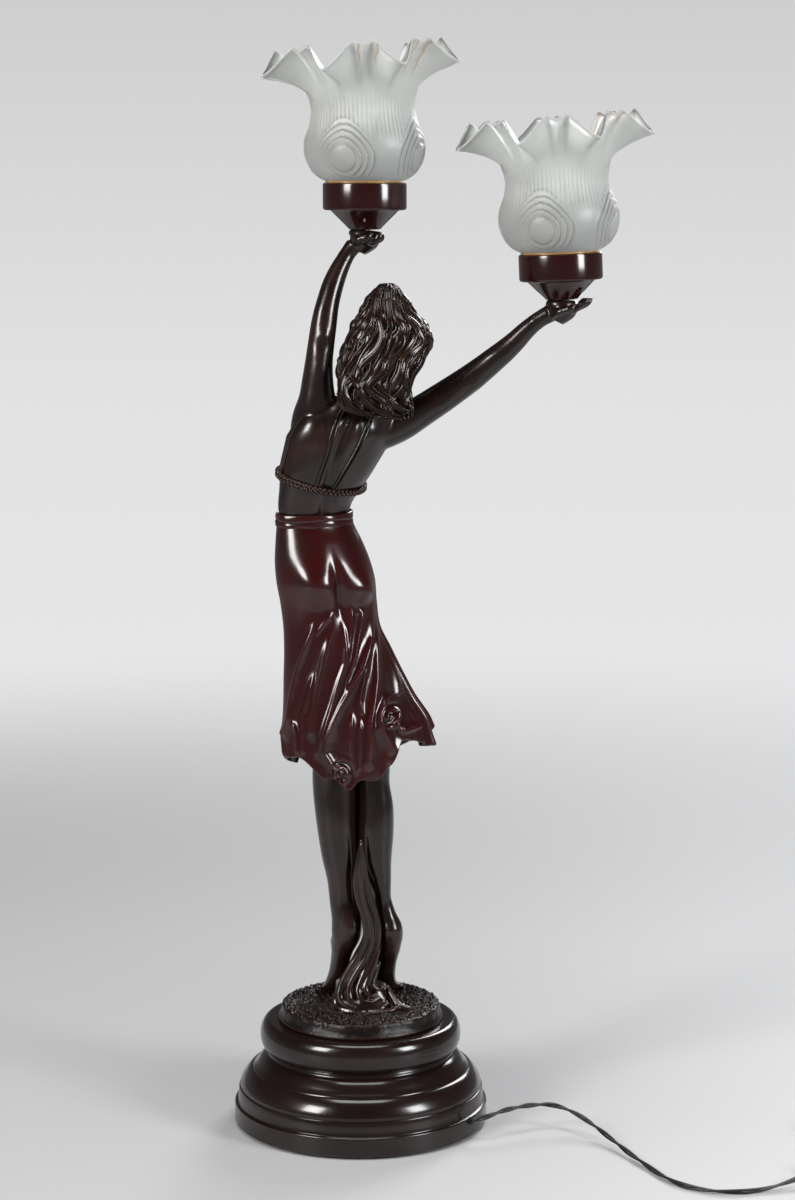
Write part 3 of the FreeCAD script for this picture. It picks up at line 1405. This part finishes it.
def make_cords():
    """Free stretches, coil and the stretch inside the plinth."""
    radius = d.cord_radius.value
    coil = coil_wire()
    edges = coil.Edges
    enter, leave = edges[0].valueAt(edges[0].FirstParameter), edges[-1].valueAt(
        edges[-1].LastParameter)
    way_in = edges[0].tangentAt(edges[0].FirstParameter)
    way_out = edges[-1].tangentAt(edges[-1].LastParameter)
    run = rounded_wire(run_route(), "cord_run")
    link = rounded_wire(link_route(enter, way_in), "cord_link")
    tail = rounded_wire(tail_route(leave, way_out), "cord_tail")
    bush = cord_place(1.0)
    out = bush.Rotation.multVec(UP)
    inner = rounded_wire([bush.Base, bush.Base - out * 26.0, Vector(58, -38, 7.4),
                          Vector(30, -38.5, 11.5), INNER_ROUTE_END], "inner_cord")
    length = 0.0
    for name, wire in (("cord_run", run), ("cord_link", link), ("cord_coil", coil),
                       ("cord_tail", tail), ("inner_cord", inner)):
        keep(name, feature(name, tube(wire, radius, name)))
        length += wire.Length
        print("%s: %.0f mm long" % (name, wire.Length))
    print("coil: least gap between turns %.2f mm" % coil_gap())


def switch_place():
    return Placement(SWITCH_MIDDLE, Rotation(UP, math.degrees(SWITCH_AIM)))


ROCKER_HEIGHT = 13.6
ROCKER_REST = -8.0


def block(name, length, width, height, z=0.0):
    """Box centred on Z."""
    item = bind(doc.addObject("Part::Box", name), Length=length, Width=width, Height=height)
    seat(item, z=z)
    for key, size in (("x", length), ("y", width)):
        half = size / 2.0 if isinstance(size, Dim) else Dim(size / 2.0, repr(size / 2.0))
        item.setExpression("Placement.Base." + key, "-1 * " + half.text)
    return item


def make_switch():
    """Two shells, screwed together, with a rocker on a pin through two lugs."""
    length, width, height = d.switch_length, d.switch_width, d.switch_height
    half = height / 2.0
    low = cut("switch_low", block("switch_low_block", length, width, half),
              block("switch_low_hollow", length - 7.0, width - 4.0, half, z=2.0))
    top = block("switch_top_block", length, width, half, z=half)
    hollow = block("switch_top_hollow", length - 7.0, width - 4.0, half - 2.0, z=half)
    slot = block("switch_slot", 17.0, 10.6, 8.0, z=height - 5.0)
    lugs = []
    for i, y in enumerate((-8.0, 5.4)):
        lug = bind(doc.addObject("Part::Box", "switch_lug_%d" % i), Length=7.0, Width=2.6,
                   Height=height - 2.0 - (ROCKER_HEIGHT - 2.6))
        lugs.append(seat(lug, x=-3.5, y=y, z=ROCKER_HEIGHT - 2.6))
    pin_hole = cylinder("switch_pin_hole", 1.25, 16.2, axis=Vector(1, 0, 0), angle=90.0)
    pin_hole.Placement = Placement(Vector(0, 8.1, ROCKER_HEIGHT), Rotation(Vector(1, 0, 0), 90))
    shell = fuse("switch_shell", [cut("switch_top_open", cut("switch_top_shell", top, hollow),
                                      slot)] + lugs)
    cover = cut("switch_cover_bored", shell, pin_hole)
    place = switch_place()
    low.Placement = place
    cover.Placement = place
    keep("switch_base", low)
    keep("switch_cover", cover)
    wings = [Vector(-7.2, 0, 4.4), Vector(0, 0, 2.9), Vector(7.2, 0, 4.4), Vector(6.6, 0, -1.2),
             Vector(0, 0, -2.4), Vector(-6.6, 0, -1.2)]
    face = Part.Face(Part.makePolygon([v + Vector(0, -5.0, 0) for v in wings + wings[:1]]))
    rocker = face.extrude(Vector(0, 10.0, 0))
    rocker = rocker.fuse(Part.makeCylinder(1.2, 15.6, Vector(0, -7.8, 0), Vector(0, 1, 0)))
    rest = Placement(Vector(0, 0, ROCKER_HEIGHT), Rotation(Vector(0, 1, 0), ROCKER_REST))
    keep("switch_rocker", feature("switch_rocker", rocker, place * rest))


def make_plug():
    """Flat two-pin plug that lies beside the coil."""
    length, width, thick = d.plug_length, d.plug_width, d.plug_thickness
    rings = []
    for share, wide, deep in ((0.0, 0.42, 0.8), (0.12, 0.5, 0.86), (0.5, 0.94, 1.0), (1.0, 1.0, 1.0)):
        centre = PLUG_FOOT + Vector(0, -length.value * share, thick.value / 2.0)

        def point(t, c=centre, w=wide, p=deep):
            angle = 2.0 * math.pi * t
            square = lambda v: math.copysign(abs(v) ** 0.45, v)
            return c + Vector(width.value / 2.0 * w * square(math.cos(angle)), 0,
                              thick.value / 2.0 * p * square(math.sin(angle)))
        rings.append(ring_of_arcs(point, 12))
    keep("plug_body", feature("plug_body", skin(rings, "plug")))
    pins = []
    for i, sign in enumerate((-1, 1)):
        pin = cylinder("plug_pin_%d" % i, d.pin_radius, d.pin_length)
        pin.Placement = Placement(
            PLUG_FOOT + Vector(sign * d.pin_spacing.value / 2.0, -length.value, thick.value / 2.0),
            Rotation(Vector(1, 0, 0), 90))
        pins.append(pin)
    keep("plug_pins", group("plug_pin_group", pins))


# ---------------------------------------------------------------------------
# build, check and export
# ---------------------------------------------------------------------------

def check_and_export():
    doc.recompute()
    for item in doc.Objects:
        if "Invalid" in item.State or "Error" in item.State:
            raise RuntimeError("failed feature: %s %s" % (item.Name, item.State))
    os.makedirs("parts", exist_ok=True)
    for name, item in PIECES.items():
        shape = item.Shape
        if shape.isNull() or not shape.isValid() or not shape.Solids:
            raise RuntimeError("bad shape: " + name)
        shape.exportStep("parts/%s.step" % name)
    print("%d pieces" % len(PIECES))


make_plinth()
make_underside()
make_ground_disc()
make_fixings()
make_terminal_block()
make_cord_bush()
make_conduits()
make_legs()
make_torso()
make_arms()
make_head()
make_hair()
make_bodice()
make_skirt()
make_waistband()
make_drape()
for side in ("left", "right"):
    make_cup(side)
    make_lights(side)
    make_shade(side)
make_cup_nuts()
make_cords()
make_switch()
make_plug()
check_and_export()
